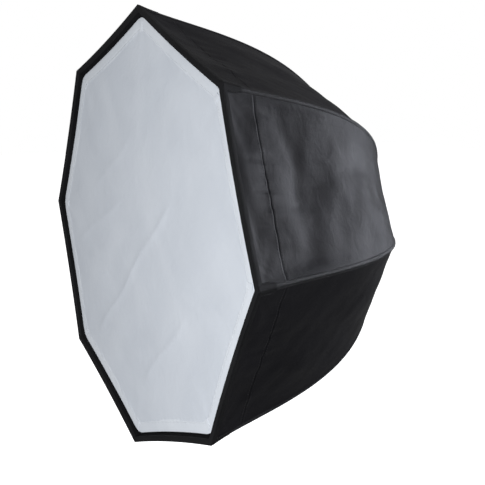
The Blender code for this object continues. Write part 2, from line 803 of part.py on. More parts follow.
def build():
    clear_scene()
    make_speedring()
    make_rear_collar()
    make_hub_ring()
    make_stop_ring()
    make_runner()
    make_hinge_wire()
    make_rim_band()
    make_flat_sheet("front_diffuser", DIFFUSER_RADIUS, DIFFUSER_DEPTH)
    make_flat_sheet("inner_baffle", BAFFLE_RADIUS, BAFFLE_DEPTH)
    for index in range(RIB_COUNT):
        make_gore(index)

    ribs = range(RIB_COUNT)
    posts = range(POST_COUNT)

    def at_hub_pivot(angle):
        return around_axis(*HUB_PIVOT, angle)

    def at_runner_pivot(angle):
        return around_axis(*RUNNER_PIVOT, angle)

    def at_post(angle):
        return around_axis(POST_CIRCLE_RADIUS, 0.0, angle)

    def at_button(angle):
        return around_axis(0.0, BUTTON_STATION, angle)

    place_around(make_rib(), "rib", ribs, at_hub_pivot, rib_angle)
    place_around(make_tip_cap(), "rib_tip_cap", ribs, at_hub_pivot, rib_angle)
    place_around(make_hub_pin(), "hub_pin", ribs, at_hub_pivot, rib_angle)
    place_around(make_strut(), "strut", ribs, at_runner_pivot, rib_angle)
    place_around(make_guide_post(), "guide_post", posts, at_post, post_angle)
    button_posts = (0, 2)
    place_around(make_button(), "release_button", button_posts, at_button, post_angle)
    place_around(make_button_spring(), "button_spring", button_posts, at_button, post_angle)


build()
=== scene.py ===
import math

import bpy
import numpy as np
from mathutils import Matrix, Vector


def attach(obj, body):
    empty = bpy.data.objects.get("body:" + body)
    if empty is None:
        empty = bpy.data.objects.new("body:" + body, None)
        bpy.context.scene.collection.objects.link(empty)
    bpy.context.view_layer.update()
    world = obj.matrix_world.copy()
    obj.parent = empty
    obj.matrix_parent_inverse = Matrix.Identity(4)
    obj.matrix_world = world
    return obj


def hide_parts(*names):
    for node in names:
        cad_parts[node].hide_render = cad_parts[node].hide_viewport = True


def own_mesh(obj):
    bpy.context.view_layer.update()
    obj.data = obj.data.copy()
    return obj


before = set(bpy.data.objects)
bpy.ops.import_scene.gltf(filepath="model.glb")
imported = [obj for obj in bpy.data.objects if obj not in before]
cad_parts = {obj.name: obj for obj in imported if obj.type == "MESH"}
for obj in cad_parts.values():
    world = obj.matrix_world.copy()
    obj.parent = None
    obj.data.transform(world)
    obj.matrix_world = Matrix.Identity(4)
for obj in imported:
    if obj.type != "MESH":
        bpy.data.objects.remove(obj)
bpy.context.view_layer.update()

# ---------------------------------------------------------------- sizes shared with the CAD

RIB_COUNT = 8
RIB_STEP = 2 * math.pi / RIB_COUNT
FIRST_RIB_ANGLE = math.radians(90)
RIM_RADIUS = 0.475
RIM_STATION = 0.566
SCALLOP = 0.010
SHELL_HANDLES = np.array(((0.0, 0.475), (0.133, 0.424), (0.547, 0.419), (0.5606, 0.075)))
SHELL_REAR_T = 0.976
HUB_PIVOT = (0.0806, 0.0165)  # (radius, station)
FOLD_ANGLE = math.radians(34.0)
COLLAR_INNER_RADIUS = 0.0695

# ---------------------------------------------------------------- sizes of the soft goods

SHELL_THICKNESS = 0.0010
SHELL_ROWS = 76
SHELL_COLUMNS = 32
SHELL_BANDS = 10
SEAM_ROWS = (-0.0090, -0.0055, -0.0032, -0.0018, -0.0009, 0.0, 0.0009, 0.0018, 0.0032, 0.0055, 0.0090)
FRONT_SEAM = 0.077  # distance of the front seam behind the rim, along the cloth
DIFFUSER_RADIUS = 0.4555
DIFFUSER_STATION = RIM_STATION - 0.0100
DIFFUSER_THICKNESS = 0.0008
DIFFUSER_SPLIT = 0.62  # share of the radius where the centre part ends
CLOTH_ROW_SHARE = 0.018  # share of the radius from one row of the flat cloths to the next
EDGE_SHARE = 0.09  # share of the radius that has finer rows, at the edge
EDGE_ROWS = 19
HEM_WIDTH = 0.024
HEM_RISE = 0.0011
TAB_RADII = (0.4250, 0.4440)
TAB_HALF_WIDTH = 0.0055
TAB_RISE = 0.0012
BAFFLE_RADIUS = 0.328
BAFFLE_STATION = RIM_STATION - 0.2400
BAFFLE_SPLIT = 0.37
STITCH_PITCH = 0.0055
STITCH_LENGTH = 0.0036
STITCH_WIDTH = 0.0010
STITCH_HEIGHT = 0.0006
STITCH_SUNK_SHARE = 0.4  # of its height, into the cloth
STITCH_LIFT = 0.0002
LOOK_AHEAD = 0.001  # distance over which a line's direction is measured
SMALLEST_FLAT_SIDE = 0.0101  # of a sheet lying flat
SMALLEST_AREA_SHARE = 0.3
SMALLEST_KEEP = 0.04
LIT_GORE = 6  # index of the gore that faces the side light

# ---------------------------------------------------------------- folds, seams and puckers

GORE_WIDTH_AT = ((0.0, 0.35), (0.36, 0.306))  # (lengths along the cloth, widths) near the rim
GORE_WIDTH_END = 0.090
CORNER_PULL_HEIGHT = 0.0011
CORNER_PULL_REACH = 0.10
CORNER_PULL_RAYS = 13
FOLD_FRONT_REACH = 0.050
FOLD_EXTRA_REACH = 0.070  # more reach behind the fold than in front of it
FOLD_BLEND = 0.03
FOLD_SOFTNESS = 0.013
FOLD_SWAYS = ((0.012, 19, 1.3), (0.006, 43, 1.0))  # (height, wavenumber, turn per gore)
SEAM_GROOVE = 0.0011
SEAM_GROOVE_HALF_WIDTH = 0.0018
SEAM_STEP = 0.0006
SEAM_PUCKER = 0.0009
SEAM_PUCKER_PITCH = 0.034
SEAM_PUCKER_REACH = 0.026
SEAM_STITCH_OFFSETS = (-0.0045, 0.0050)
HEM_GROOVE = 0.0005
HEM_GROOVE_HALF_WIDTH = 0.0016
HEM_GROOVE_INSET = 0.004
HEM_PUCKER = 0.0004
HEM_PUCKER_WAVENUMBER = 260
HEM_PUCKER_REACH = 0.006
EDGE_ROLL = 0.0008
EDGE_ROLL_WIDTH = 0.003
CORNER_LOSS = 0.009  # share of the radius lost at a rounded corner
CORNER_SPREAD = 0.030  # in shares across a gore

# ---------------------------------------------------------------- tapes, pockets and straps

SEAM_TAPE = {"half_width": 0.0065, "rise": 0.0013, "thickness": 0.0010, "rows": 90}
SEAM_TAPE_START = 0.006
SEAM_TAPE_END_GAP = 0.002
SEAM_TAPE_STITCHES = (-0.0046, 0.0046)
SEAM_TAPE_STITCH_RISE = 0.0012
POCKET_STITCH_RISE = 0.0016
SEAM_BLEND = 0.004  # half of the width over which the normals of two gores blend
TAPE_CROWN_FALL = 0.35  # share of a tape's rise lost evenly towards its sides
TAPE_SIDE_FALL = 0.4  # share lost only at its sides
SEAM_TAPE_STITCH_SPAN = (0.05, 0.006)  # start, and distance short of the cloth's end
POCKET = {"half_width": 0.0125, "rise": 0.0020, "thickness": 0.0013, "rows": 16, "taper": 0.35}
POCKET_SPAN = (0.004, 0.048)
POCKET_STITCH_SPAN = (0.010, 0.044)
POCKET_STITCHES = (-0.0100, 0.0100)
EDGE_COLUMNS = 28
DIFFUSER_COLUMNS = 40
STRAP_HALF_WIDTH = 0.006
STRAP_THICKNESS = 0.0010
STRAP_LENGTH_AT_RIB = 0.262  # length along the cloth where the strap meets the rib
STRAP_RIB_GAP = 0.0095
STRAP_OVERLAP = 0.018
STRAP_LIFT = (0.0012, 0.006)  # in front of the baffle, and its fall towards the rib
COLLAR_THICKNESS = 0.0011
COLLAR_STITCH_RADII = (0.0895, 0.0935)
COLLAR_STITCH_STATION = 0.0034

RNG = np.random.default_rng(11)


# ---------------------------------------------------------------- material building


class Look:
    """A node material around one Principled BSDF."""

    def __init__(self, name, roughness=0.5, metallic=0.0, **sockets):
        self.material = bpy.data.materials.new(name)
        self.material.use_nodes = True
        self.tree = self.material.node_tree
        self.shader = self.tree.nodes["Principled BSDF"]
        self.shader.inputs["Roughness"].default_value = roughness
        self.shader.inputs["Metallic"].default_value = metallic
        for socket, value in sockets.items():
            self.shader.inputs[socket.replace("_", " ")].default_value = value

    def add(self, kind, settings=None, **inputs):
        node = self.tree.nodes.new("ShaderNode" + kind)
        for key, value in (settings or {}).items():
            setattr(node, key, value)
        for key, value in inputs.items():
            socket = node.inputs[int(key[1:]) if key[0] == "i" and key[1:].isdigit()
                                 else key.replace("_", " ")]
            if isinstance(value, bpy.types.NodeSocket):
                self.tree.links.new(value, socket)
            else:
                socket.default_value = value
        return node

    def coordinates(self, cloth):
        if cloth:
            return self.add("UVMap", {"uv_map": "cloth"}).outputs["UV"]
        return self.add("TexCoord").outputs["Object"]

    def noise(self, vector, scale, detail=3.0, distortion=0.0):
        node = self.add("TexNoise", None, Vector=vector, Scale=scale, Detail=detail,
                        Distortion=distortion)
        return node.outputs["Fac"]

    def bands(self, vector, period, direction):
        """A sine along one direction, with a period in metres."""
        node = self.add("TexWave", {"bands_direction": direction}, Vector=vector,
                        Scale=2 * math.pi / (20 * period))
        return node.outputs["Fac"]

    def math(self, operation, first, second):
        return self.add("Math", {"operation": operation}, i0=first, i1=second).outputs[0]

    def spread(self, value, low, high, to_low, to_high):
        node = self.add("MapRange", None, Value=value)
        for index, number in zip((1, 2, 3, 4), (low, high, to_low, to_high)):
            node.inputs[index].default_value = number
        return node.outputs[0]

    def mix(self, factor, first, second):
        node = self.add("Mix", {"data_type": "RGBA"})
        for index, value in ((0, factor), (6, first), (7, second)):
            if isinstance(value, bpy.types.NodeSocket):
                self.tree.links.new(value, node.inputs[index])
            else:
                node.inputs[index].default_value = value if index == 0 else (*value, 1.0)
        return node.outputs[2]

    def set(self, socket, output):
        self.tree.links.new(output, self.shader.inputs[socket])

    def bump(self, *layers):
        """Bump nodes in a chain, each from (height, distance in metres)."""
        normal = None
        for height, distance in layers:
            node = self.add("Bump", None, Height=height, Distance=distance, Strength=1.0)
            if normal is not None:
                self.tree.links.new(normal, node.inputs["Normal"])
            normal = node.outputs["Normal"]
        self.set("Normal", normal)


PATCH_SCALE = 7.0  # scales of the noises, in waves per metre
YARN_SCALE = 900.0
CRUMPLE_SCALE = 26.0
FINE_CRUMPLE_SCALE = 110.0
FINE_CRUMPLE_SHARE = 0.22
PATCH_SHARE = 0.75  # of the colour's variation; the yarns have the rest
MOTTLE_SCALE = 60.0
WEAR_SCALE = 18.0
GRAIN_SCALE = 1400.0
SCRATCH_SCALE = 220.0


def cloth_look(name, dark, light, roughness, weave, crumple, cloth=True, thread=0.0012, **sockets):
    """Woven cloth: patchy colour, a plain weave, and fine crumples."""
    look = Look(name, roughness, **sockets)
    place = look.add("TexCoord").outputs["Object"]
    over = look.coordinates(cloth)
    patches = look.spread(look.noise(place, PATCH_SCALE, 5.0, 0.6), 0.35, 0.68, 0.0, 1.0)
    yarn = look.noise(over, YARN_SCALE, 2.0)
    blend = look.math("ADD", look.math("MULTIPLY", patches, PATCH_SHARE),
                      look.math("MULTIPLY", yarn, 1 - PATCH_SHARE))
    look.set("Base Color", look.mix(blend, dark, light))
    look.set("Roughness", look.spread(patches, 0.0, 1.0, roughness - 0.04, roughness + 0.06))
    warp = look.bands(over, thread, "X")
    weft = look.bands(over, thread, "Y")
    plain_weave = look.math("MAXIMUM", warp, weft)
    crumples = look.noise(over, CRUMPLE_SCALE, 4.0, 1.2)
    fine = look.noise(over, FINE_CRUMPLE_SCALE, 3.0, 0.5)
    look.bump((crumples, crumple), (fine, crumple * FINE_CRUMPLE_SHARE), (plain_weave, weave))
    return look.material


def metal_look(name, dark, light, roughness, metallic, grain, scratches=0.00004, **sockets):
    """Cast, painted or plated metal and plastic: mottled, lightly scratched."""
    look = Look(name, roughness, metallic, **sockets)
    place = look.coordinates(False)
    mottle = look.noise(place, MOTTLE_SCALE, 5.0)
    look.set("Base Color", look.mix(look.spread(mottle, 0.35, 0.65, 0.0, 1.0), dark, light))
    wear = look.noise(place, WEAR_SCALE, 8.0, 2.0)
    look.set("Roughness", look.spread(wear, 0.3, 0.7, roughness - 0.08, roughness + 0.1))
    look.bump((look.noise(place, GRAIN_SCALE, 2.0), grain),
              (look.noise(place, SCRATCH_SCALE, 6.0, 3.0), scratches))
    return look.material


LOOKS = {
    "shell": cloth_look("shell_nylon", (0.0066, 0.0064, 0.0080), (0.0105, 0.0102, 0.0124),
                        0.42, 0.00007, 0.0009, Specular_IOR_Level=0.08),
    "silver": cloth_look("silver_lining", (0.50, 0.51, 0.52), (0.68, 0.69, 0.70), 0.34,
                         0.00006, 0.0020, Metallic=0.75, Specular_IOR_Level=0.5),
    "diffuser": cloth_look("diffuser_nylon", (0.560, 0.590, 0.640), (0.620, 0.648, 0.695),
                           0.78, 0.00005, 0.0010, Specular_IOR_Level=0.20),
    "hem": cloth_look("diffuser_hem_cloth", (0.62, 0.65, 0.695), (0.69, 0.715, 0.755), 0.78,
                      0.00008, 0.0010, Specular_IOR_Level=0.20),
    "tape": cloth_look("binding_tape", (0.0075, 0.0075, 0.0082), (0.0140, 0.0140, 0.0150), 0.62,
                       0.00014, 0.0005, thread=0.0016, Specular_IOR_Level=0.08),
    "piping": cloth_look("seam_tape", (0.0125, 0.0125, 0.0140), (0.0230, 0.0230, 0.0250), 0.52,
                         0.00014, 0.0006, thread=0.0016, Specular_IOR_Level=0.14),
    "lip": cloth_look("loop_fastener", (0.0060, 0.0060, 0.0066), (0.0120, 0.0120, 0.0130), 0.85,
                      0.00030, 0.0004, thread=0.0011, Specular_IOR_Level=0.04),
    "thread": cloth_look("black_thread", (0.020, 0.020, 0.022), (0.034, 0.034, 0.036), 0.5,
                         0.0, 0.0, cloth=False, Specular_IOR_Level=0.4),
    "white_thread": cloth_look("white_thread", (0.56, 0.58, 0.60), (0.64, 0.66, 0.68), 0.6,
                               0.0, 0.0, cloth=False, Specular_IOR_Level=0.4),
    "elastic": cloth_look("elastic_webbing", (0.012, 0.012, 0.013), (0.025, 0.025, 0.027), 0.7,
                          0.00020, 0.0003, thread=0.0014, Specular_IOR_Level=0.3),
    "cast": metal_look("cast_black", (0.018, 0.018, 0.019), (0.030, 0.030, 0.032), 0.44, 0.15,
                       0.00012, Coat_Weight=0.1),
    "plastic": metal_look("black_plastic", (0.014, 0.014, 0.015), (0.022, 0.022, 0.023), 0.46,
                          0.0, 0.00008),
    "steel": metal_look("spring_steel", (0.42, 0.42, 0.43), (0.58, 0.58, 0.59), 0.28, 1.0,
                        0.00002),
    "zinc": metal_look("plated_steel", (0.52, 0.52, 0.50), (0.68, 0.68, 0.65), 0.33, 1.0,
                       0.00002),
    "red": metal_look("button_red", (0.36, 0.022, 0.016), (0.46, 0.035, 0.022), 0.38, 0.0,
                      0.00004),
}


# ---------------------------------------------------------------- frame geometry in numpy


def rib_angle(index):
    return FIRST_RIB_ANGLE + RIB_STEP * index


def unit(vectors):
    return vectors / np.maximum(np.linalg.norm(vectors, axis=-1, keepdims=True), 1e-12)


def smooth(x, start, end):
    share = np.clip((x - start) / (end - start), 0.0, 1.0)
    return share * share * (3 - 2 * share)


def shell_profile(t):
    """(depth, radius) of the cloth along a rib."""
    t = np.asarray(t, float)[..., None]
    h = SHELL_HANDLES
    return (1 - t) ** 3 * h[0] + 3 * t * (1 - t) ** 2 * h[1] + 3 * t * t * (1 - t) * h[2] + t**3 * h[3]


T_TABLE = np.linspace(0.0, 1.0, 801)
S_TABLE = np.concatenate(
    ([0.0], np.cumsum(np.linalg.norm(np.diff(shell_profile(T_TABLE), axis=0), axis=1))))
SHELL_LENGTH = float(np.interp(SHELL_REAR_T, T_TABLE, S_TABLE))


def t_at(s):
    """Profile parameter at a length s along the cloth, held at its end values past its ends."""
    return np.interp(s, S_TABLE, T_TABLE)


def panel_point(gore, u, radius, station):
    """A point between rib gore and the next, at share u across, drawn in by the scallop."""
    u, radius, station = np.broadcast_arrays(u, radius, station)
    first, second = rib_angle(gore), rib_angle(gore + 1)
    middle = (first + second) / 2
    pull = SCALLOP * radius * 4 * u * (1 - u)
    x = radius * ((1 - u) * math.cos(first) + u * math.cos(second)) - pull * math.cos(middle)
    z = radius * ((1 - u) * math.sin(first) + u * math.sin(second)) - pull * math.sin(middle)
    return np.stack((x, -station, z), -1)


def tangent(index):
    """Unit vector along the tangent at a rib, towards the next one."""
    a = rib_angle(index)
    return Vector((-math.sin(a), 0.0, math.cos(a)))


def turned_radius(x, station):
    """Radius in the rib's plane of a point that has swung with the rib to its folded place."""
    return (HUB_PIVOT[0] + (x - HUB_PIVOT[0]) * math.cos(FOLD_ANGLE)
            - (station - HUB_PIVOT[1]) * math.sin(FOLD_ANGLE))


def fold_share(radius, station):
    """How much of its width a panel keeps when its ribs fold, at a radius and station."""
    x = radius * math.cos(RIB_STEP / 2) * (math.cos(RIB_STEP / 2) - SCALLOP)
    return turned_radius(x, station) / x


# ---------------------------------------------------------------- mesh building


def link(name, mesh, looks):
    obj = bpy.data.objects.new(name, mesh)
    bpy.context.scene.collection.objects.link(obj)
    for look in looks:
        mesh.materials.append(LOOKS[look])
    return obj


def grid_normals(points):
    """Unit normals of a grid of points, by differences along its rows and columns."""
    down = np.gradient(points, axis=0)
    across = np.gradient(points, axis=1)
    return unit(np.cross(across, down))


def panel(name, outer, normals, inner, uv, looks):
    """A thin closed sheet from two grids, shaded with the normals of the whole surface."""
    rows, columns = outer.shape[:2]
    count = rows * columns
    index = np.arange(count).reshape(rows, columns)
    if np.allclose(outer[0], outer[0][0], atol=1e-7):
        index[0] = index[0, 0]
    quads = np.stack((index[:-1, :-1], index[:-1, 1:], index[1:, 1:], index[1:, :-1]), -1)
    quads = quads.reshape(-1, 4)
    corner = outer.reshape(-1, 3)[quads]
    facing = np.cross(corner[:, 2] - corner[:, 0], corner[:, 3] - corner[:, 1])
    flip = (facing * normals.reshape(-1, 3)[quads[:, 0]]).sum() < 0
    if flip:
        quads = quads[:, ::-1]
    ring = list(index[0]) + list(index[1:, -1]) + list(index[-1, -2::-1]) + list(index[-2:0:-1, 0])
    if flip:
        ring = ring[::-1]
    walls = [(b, a, a + count, b + count) for a, b in zip(ring, ring[1:] + ring[:1])]
    faces, kinds = [], []
    for kind, group in enumerate((quads.tolist(), (quads[:, ::-1] + count).tolist(), walls)):
        for face in group:
            kept = list(dict.fromkeys(int(i) for i in face))
            if len(kept) > 2:
                faces.append(kept)
                kinds.append(kind)
    verts = np.concatenate((outer.reshape(-1, 3), inner.reshape(-1, 3)))
    used = sorted({i for face in faces for i in face})
    place = {old: new for new, old in enumerate(used)}
    faces_used = [[place[i] for i in face] for face in faces]
    mesh = bpy.data.meshes.new(name)
    mesh.from_pydata(verts[used].tolist(), [], faces_used)
    shade = np.concatenate((normals.reshape(-1, 3), -normals.reshape(-1, 3)))
    flat_uv = np.concatenate((uv.reshape(-1, 2), uv.reshape(-1, 2)))
    loops, coordinates = [], []
    for face, kind in zip(faces, kinds):
        for i in face:
            loops.append(tuple(shade[i]) if kind < 2 else (0.0, 0.0, 0.0))
            coordinates.extend(flat_uv[i])
    layer = mesh.uv_layers.new(name="cloth")
    layer.data.foreach_set("uv", coordinates)
    mesh.polygons.foreach_set("use_smooth", [kind < 2 for kind in kinds])
    obj = link(name, mesh, looks)
    if len(looks) > 1:
        mesh.polygons.foreach_set("material_index", [1 if kind == 1 else 0 for kind in kinds])
    mesh.normals_split_custom_set(loops)
    mesh.update()
    return obj


def sheet_area(outer):
    """Area of a grid of points."""
    a = np.linalg.norm(np.cross(outer[1:, :-1] - outer[:-1, :-1], outer[:-1, 1:] - outer[:-1, :-1]), axis=-1)
    b = np.linalg.norm(np.cross(outer[1:, :-1] - outer[1:, 1:], outer[:-1, 1:] - outer[1:, 1:]), axis=-1)
    return float((a.sum() + b.sum()) / 2)


def declare(obj, outer):
    """Works out the size that a cloth piece lies flat at and its area, and keeps neither."""
    rows = np.linalg.norm(np.diff(outer, axis=0), axis=-1).sum(0).max()
    columns = np.linalg.norm(np.diff(outer, axis=1), axis=-1).sum(1).max()
    flat = (max(float(columns), SMALLEST_FLAT_SIDE), max(float(rows), SMALLEST_FLAT_SIDE))
    whole = flat[0] * flat[1]
    area = min(max(sheet_area(outer), SMALLEST_AREA_SHARE * whole), whole)


def rice_grains(centres, alongs, ups, length, width, height):
    """Vertices and faces of one thread stitch at each centre, pointed at both ends."""
    sides = np.cross(ups, alongs)
    verts = np.stack((centres - alongs * length / 2, centres + ups * height,
                      centres + sides * width / 2, centres - ups * height * STITCH_SUNK_SHARE,
                      centres - sides * width / 2, centres + alongs * length / 2), 1)
    shape = []
    for i in range(4):
        a, b = 1 + i, 1 + (i + 1) % 4
        shape += [(0, b, a), (5, a, b)]
    base = np.arange(len(centres))[:, None, None] * 6
    faces = base + np.array(shape)[None]
    return verts.reshape(-1, 3), faces.reshape(-1, 3)


def stitches(name, lines, look="thread"):
    """One object of stitches laid along lines, each a (points, ups) pair of arrays."""
    all_verts, all_faces, start = [], [], 0
    for points, ups in lines:
        steps = np.linalg.norm(np.diff(points, axis=0), axis=1)
        run = np.concatenate(([0.0], np.cumsum(steps)))
        at = np.arange(STITCH_PITCH / 2, run[-1], STITCH_PITCH)
        if not len(at):
            continue
        centres = np.stack([np.interp(at, run, points[:, i]) for i in range(3)], 1)
        upward = unit(np.stack([np.interp(at, run, ups[:, i]) for i in range(3)], 1))
        ahead = np.stack([np.interp(at + LOOK_AHEAD, run, points[:, i]) for i in range(3)], 1)
        behind = np.stack([np.interp(at - LOOK_AHEAD, run, points[:, i]) for i in range(3)], 1)
        along = unit(ahead - behind)
        verts, faces = rice_grains(centres, along, upward, STITCH_LENGTH, STITCH_WIDTH, STITCH_HEIGHT)
        all_verts.append(verts)
        all_faces.append(faces + start)
        start += len(verts)
    mesh = bpy.data.meshes.new(name)
    mesh.from_pydata(np.concatenate(all_verts).tolist(), [], np.concatenate(all_faces).tolist())
    mesh.shade_smooth()
    return link(name, mesh, [look])


def squash_half(obj, rib, keep):
    """Rides on a rib, with a mesh of its own."""
    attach(obj, f"rib_{rib + 1}")
    tangent(rib)
    float(np.clip(keep, SMALLEST_KEEP, 1.0))
    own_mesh(obj)


def halves(gore, columns):
    """(suffix, rib index, column slice) of the two halves of a panel of that many columns."""
    middle = columns // 2
    yield "a", gore % RIB_COUNT, slice(0, middle + 1)
    yield "b", (gore + 1) % RIB_COUNT, slice(middle, columns + 1)


# ---------------------------------------------------------------- shell


# Ripples in the cloth: (shortest, longest, height, how many), from long to short
WAVE_KINDS = ((0.13, 0.28, 0.0016, 4), (0.05, 0.11, 0.00040, 7), (0.028, 0.05, 0.00012, 6))
WAVE_HEADING_SPREAD = 0.75


def random_waves():
    """The ripples of one gore, each (height, wavenumber across, wavenumber along, phase)."""
    waves = []
    for shortest, longest, height, number in WAVE_KINDS:
        for _ in range(number):
            length = RNG.uniform(shortest, longest)
            heading = RNG.normal(0.0, WAVE_HEADING_SPREAD)
            waves.append((height * RNG.uniform(0.5, 1.0), 2 * math.pi / length * math.cos(heading),
                          2 * math.pi / length * math.sin(heading), RNG.uniform(0, 2 * math.pi)))
    return waves


WAVES = [random_waves() for _ in range(RIB_COUNT)]

# Soft fold behind the front seam of each gore: (distance behind the rim, height)
FOLDS = [(float(RNG.uniform(0.13, 0.22)), float(RNG.uniform(0.0010, 0.0028)))
         for _ in range(RIB_COUNT)]
FOLDS[LIT_GORE] = (0.160, -0.0130)


def relief(gore, u, s):
    """How far the cloth stands out of its even shape, in metres."""
    width = np.interp(s, (*GORE_WIDTH_AT[0], SHELL_LENGTH), (*GORE_WIDTH_AT[1], GORE_WIDTH_END))
    x = (u - 0.5) * width
    edge = np.sqrt(np.clip(4 * u * (1 - u), 0.0, 1.0))
    ends = smooth(s, 0.0, 0.03) * smooth(SHELL_LENGTH - s, 0.0, 0.06)
    total = np.zeros(np.broadcast(u, s).shape)
    for size, kx, ks, phase in WAVES[gore]:
        total += size * np.sin(kx * x + ks * s + phase)
    for corner in (0.0, 1.0):
        dx, ds = (u - corner) * width, s
        reach = np.hypot(dx, ds)
        bearing = np.arctan2(np.abs(dx), ds + 1e-6)
        total += (CORNER_PULL_HEIGHT * np.exp(-reach / CORNER_PULL_REACH)
                  * smooth(reach, 0.01, 0.05)
                  * np.sin(CORNER_PULL_RAYS * bearing + 2.1 * gore + corner))
    place, height = FOLDS[gore]
    sway = sum(size * np.sin(wavenumber * x + turn * gore) for size, wavenumber, turn in FOLD_SWAYS)
    gap = s - place - sway
    reach = FOLD_FRONT_REACH + FOLD_EXTRA_REACH * smooth(gap, -FOLD_BLEND, FOLD_BLEND)
    fold = np.exp(-(np.hypot(gap, FOLD_SOFTNESS) - FOLD_SOFTNESS) / reach)
    total += height * fold * smooth(u * (1 - u), 0.0, 0.10)
    behind = s - FRONT_SEAM
    total -= SEAM_GROOVE * np.exp(-((behind / SEAM_GROOVE_HALF_WIDTH) ** 2))
    total += SEAM_STEP * smooth(-behind, -0.001, 0.002)
    pucker = np.sin(2 * math.pi * x / SEAM_PUCKER_PITCH + 1.7 * np.sin(31 * x + gore))
    total += SEAM_PUCKER * pucker * np.exp(-np.abs(behind) / SEAM_PUCKER_REACH)
    return total * edge * ends


def even_shell(gore, u, s):
    profile = shell_profile(t_at(s))
    return panel_point(gore, u, profile[..., 1], RIM_STATION - profile[..., 0])


def normals_of(surface, gore, u, s, step=0.0006):
    du = surface(gore, u + step, s) - surface(gore, u - step, s)
    ds = surface(gore, u, s + step) - surface(gore, u, s - step)
    return unit(np.cross(ds, du))


def shell_surface(gore, u, s):
    """Points on the outside of the shell with its folds and seams."""
    base = even_shell(gore, u, s)
    return base + relief(gore, u, s)[..., None] * normals_of(even_shell, gore, u, s)


def shell_grid(gore, us, ss):
    """(points, normals, uv) over a grid of shares across and lengths along."""
    u, s = np.meshgrid(us, ss)
    points = shell_surface(gore, u, s)
    normals = normals_of(shell_surface, gore, u, s)
    chord = 2 * shell_profile(t_at(s))[..., 1] * math.sin(RIB_STEP / 2)
    uv = np.stack(((u - 0.5) * chord + gore, s), -1)
    return points, normals, uv


def shell_rows():
    """Lengths of the rows, and the rows where one band ends and the next starts."""
    even = np.linspace(0.0035, SHELL_LENGTH, SHELL_ROWS + 1)
    near_seam = FRONT_SEAM + np.array(SEAM_ROWS)
    ss = np.sort(np.concatenate((even[np.abs(even - FRONT_SEAM) > near_seam.max() - FRONT_SEAM],
                                 near_seam)))
    profile = shell_profile(t_at(ss))
    keeps = fold_share(profile[:, 1], RIM_STATION - profile[:, 0])
    wanted = np.linspace(keeps[0], keeps[-1], SHELL_BANDS + 1)[1:-1]
    cuts = [int(np.abs(keeps - share).argmin()) for share in wanted]
    return ss, keeps, [0, *cuts, len(ss) - 1]


def make_shell():
    ss, keeps, cuts = shell_rows()
    us = np.linspace(0.0, 1.0, SHELL_COLUMNS + 1)
    for gore in range(RIB_COUNT):
        points, normals, uv = shell_grid(gore, us, ss)
        inner = points - normals * SHELL_THICKNESS
        for suffix, rib, columns in halves(gore, SHELL_COLUMNS):
            for band, (top, bottom) in enumerate(zip(cuts, cuts[1:])):
                rows = slice(top, bottom + 1)
                part = (rows, columns)
                obj = panel(f"shell_{gore + 1}{suffix}_band_{band + 1}", points[part], normals[part],
                            inner[part], uv[part], ["shell", "silver"])
                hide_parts(f"shell_gore_{gore + 1}")
                declare(obj, points[part])
                squash_half(obj, rib, keeps[bottom])
            make_front_seam(gore, suffix, rib, us[columns], keeps, ss, cuts)


def make_front_seam(gore, suffix, rib, us, keeps, ss, cuts):
    """Two lines of stitches across the shell, beside the front seam."""
    fine = np.linspace(us[0], us[-1], 60)
    lines = []
    for offset in SEAM_STITCH_OFFSETS:
        points, normals, _ = shell_grid(gore, fine, np.array([FRONT_SEAM + offset]))
        lines.append((points[0] + normals[0] * STITCH_LIFT, normals[0]))
    obj = stitches(f"front_seam_stitches_{gore + 1}{suffix}", lines)
    band = next(i for i, cut in enumerate(cuts[1:]) if ss[cut] > FRONT_SEAM)
    squash_half(obj, rib, keeps[cuts[band + 1]])


# ---------------------------------------------------------------- strips along the ribs


def over_seam(rib, offset, s, rise):
    """A point beside the rib's seam, offset across it in metres, raised off the cloth."""
    radius = shell_profile(t_at(s))[..., 1]
    share = np.abs(offset) / (2 * radius * math.sin(RIB_STEP / 2))
    right = shell_surface(rib, share, s)
    left = shell_surface(rib - 1, 1 - share, s)
    normal_right = normals_of(shell_surface, rib, share, s)
    normal_left = normals_of(shell_surface, rib - 1, 1 - share, s)
    side = np.clip(offset / SEAM_BLEND, -1.0, 1.0)[..., None]
    normal = unit(normal_left * (1 - side) + normal_right * (1 + side))
    point = np.where((offset >= 0)[..., None], right, left)
    return point + normal * np.asarray(rise)[..., None]


def strip(name, rib, start, end, half_width, rise, thickness, look, rows, taper=0.0):
    """A tape laid over a rib's seam from one length along it to another."""
    across = np.linspace(-1.0, 1.0, 11)
    along = np.linspace(start, end, rows)
    a, s = np.meshgrid(across, along)
    narrow = 1.0
    if taper:
        narrow = 1 - taper * smooth(s, end - 2 * half_width, end) ** 2
    offset = a * half_width * narrow
    crown = rise * (1 - TAPE_CROWN_FALL * a**2) - rise * TAPE_SIDE_FALL * np.abs(a) ** 8
    outer = over_seam(rib, offset, s, crown)
    inner = over_seam(rib, offset, s, crown - thickness)
    uv = np.stack((offset + rib, s), -1)
    normals = -grid_normals(outer)
    obj = panel(name, outer, normals, inner, uv, [look])
    return obj, outer


def strip_stitches(name, rib, start, end, offsets, rise):
    s = np.linspace(start, end, 120)
    lines = []
    for offset in offsets:
        points = over_seam(rib, np.full_like(s, offset), s, rise)
        higher = over_seam(rib, np.full_like(s, offset), s, rise + LOOK_AHEAD)
        lines.append((points, unit(higher - points)))
    return stitches(name, lines)


